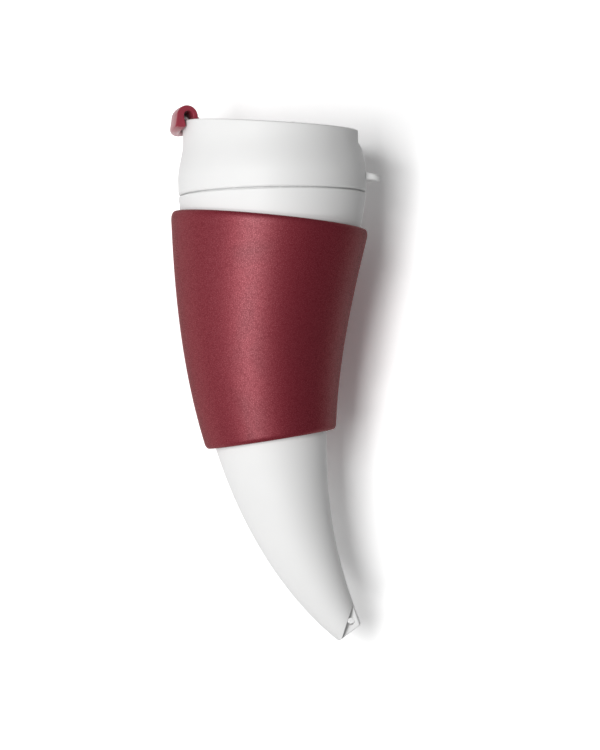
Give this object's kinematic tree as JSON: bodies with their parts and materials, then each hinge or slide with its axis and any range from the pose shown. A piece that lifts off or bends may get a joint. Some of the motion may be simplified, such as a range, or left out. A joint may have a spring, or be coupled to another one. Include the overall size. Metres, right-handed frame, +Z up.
{
  "type": "horn drinking cup",
  "caption": "Curved horn-shaped travel cup with a press-on lid, a flip-up sip lever with a soft stopper, and a leather grip sleeve that draws off over the tip.",
  "frame": {"origin": "point on the mouth's axis at the middle height of the grip", "axes": "+Z up the mouth's axis, +X to the side that the tip bends to, so the sip side faces -X"},
  "size_m": [0.0983, 0.0932, 0.2503],
  "materials": {
    "white_plastic": "satin moulded",
    "seal_silicone": "matte",
    "red_plastic": "glossy moulded",
    "red_silicone": "matte",
    "pin_steel": "turned",
    "red_leather": "fine grain",
    "lining_fabric": "felted",
    "thread": "waxed"
  },
  "bodies": {
    "horn": {"horn_body": "white_plastic"},
    "lid": {"lid_shell": "white_plastic", "lid_gasket": "seal_silicone", "lever_pin": "pin_steel"},
    "lever": {"sip_lever": "red_plastic", "sip_plug": "red_silicone"},
    "sleeve": {"leather_sleeve": "red_leather", "sleeve_lining": "lining_fabric", "seam_thread": "thread"}
  },
  "joints": [
    {"name": "lid_lift", "type": "slide", "parent": "horn", "child": "lid", "axis": [0, 0, 1], "range_m": [0, 0.08]},
    {"name": "lever_flip", "type": "hinge", "parent": "lid", "child": "lever", "pos_m": [0.01, 0, 0.0929], "axis": [0, 1, 0], "range_deg": [0, 115]},
    {"name": "sleeve_draw", "type": "hinge", "parent": "horn", "child": "sleeve", "pos_m": [0.4, 0, 0], "axis": [0, -1, 0], "range_deg": [0, 32]}
  ]
}
